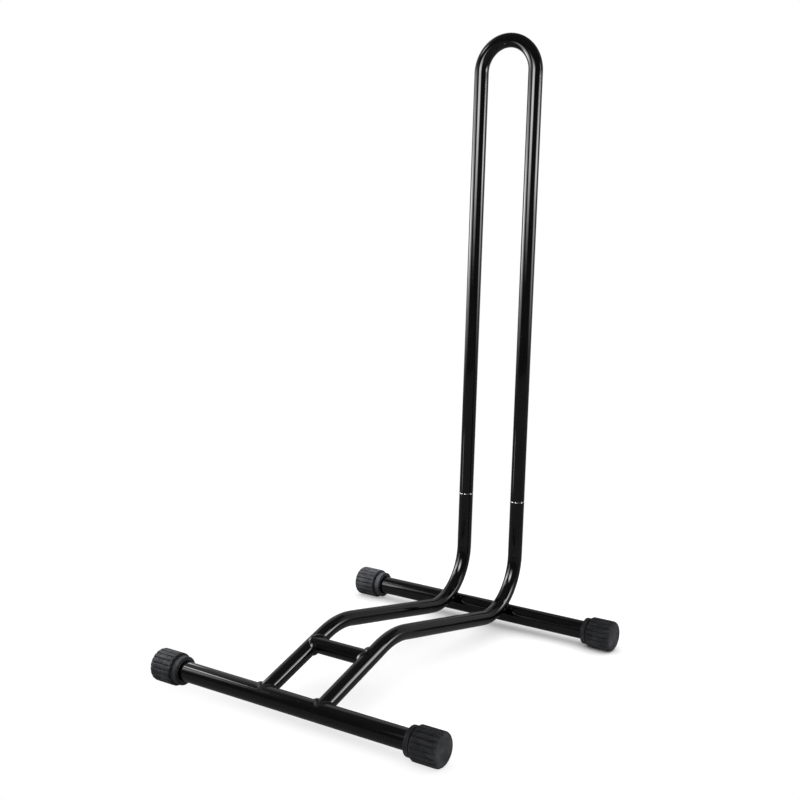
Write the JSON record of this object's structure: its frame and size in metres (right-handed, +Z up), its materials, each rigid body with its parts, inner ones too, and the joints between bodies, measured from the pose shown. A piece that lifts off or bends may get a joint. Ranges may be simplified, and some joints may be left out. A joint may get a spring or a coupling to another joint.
{
  "type": "bike display stand",
  "caption": "Free-standing floor stand of black tube that holds a bike upright by one wheel, with a tall pull-off hoop and ribbed rubber end caps.",
  "frame": {"origin": "on the floor, under the middle of the whole stand's box", "axes": "+Z up; +Y from the front cross tube towards the uprights; +X to the right of someone who looks along +Y"},
  "size_m": [0.3406, 0.401, 0.6632],
  "materials": {
    "frame_paint": "gloss",
    "hoop_paint": "gloss",
    "weld_paint": "gloss",
    "cap_rubber": "matt"
  },
  "bodies": {
    "base": {"front_cross_tube": "frame_paint", "rear_cross_tube": "frame_paint", "left_leg_tube": "frame_paint", "right_leg_tube": "frame_paint", "cross_brace": "frame_paint", "front_left_weld": "weld_paint", "front_right_weld": "weld_paint", "rear_left_weld": "weld_paint", "rear_right_weld": "weld_paint", "brace_left_weld": "weld_paint", "brace_right_weld": "weld_paint", "front_left_cap": "cap_rubber", "front_right_cap": "cap_rubber", "rear_left_cap": "cap_rubber", "rear_right_cap": "cap_rubber"},
    "hoop": {"upright_hoop": "hoop_paint"}
  },
  "joints": [
    {"name": "hoop_lift", "type": "slide", "parent": "base", "child": "hoop", "axis": [0, 0.0236, 0.9997], "range_m": [0, 0.045]}
  ]
}
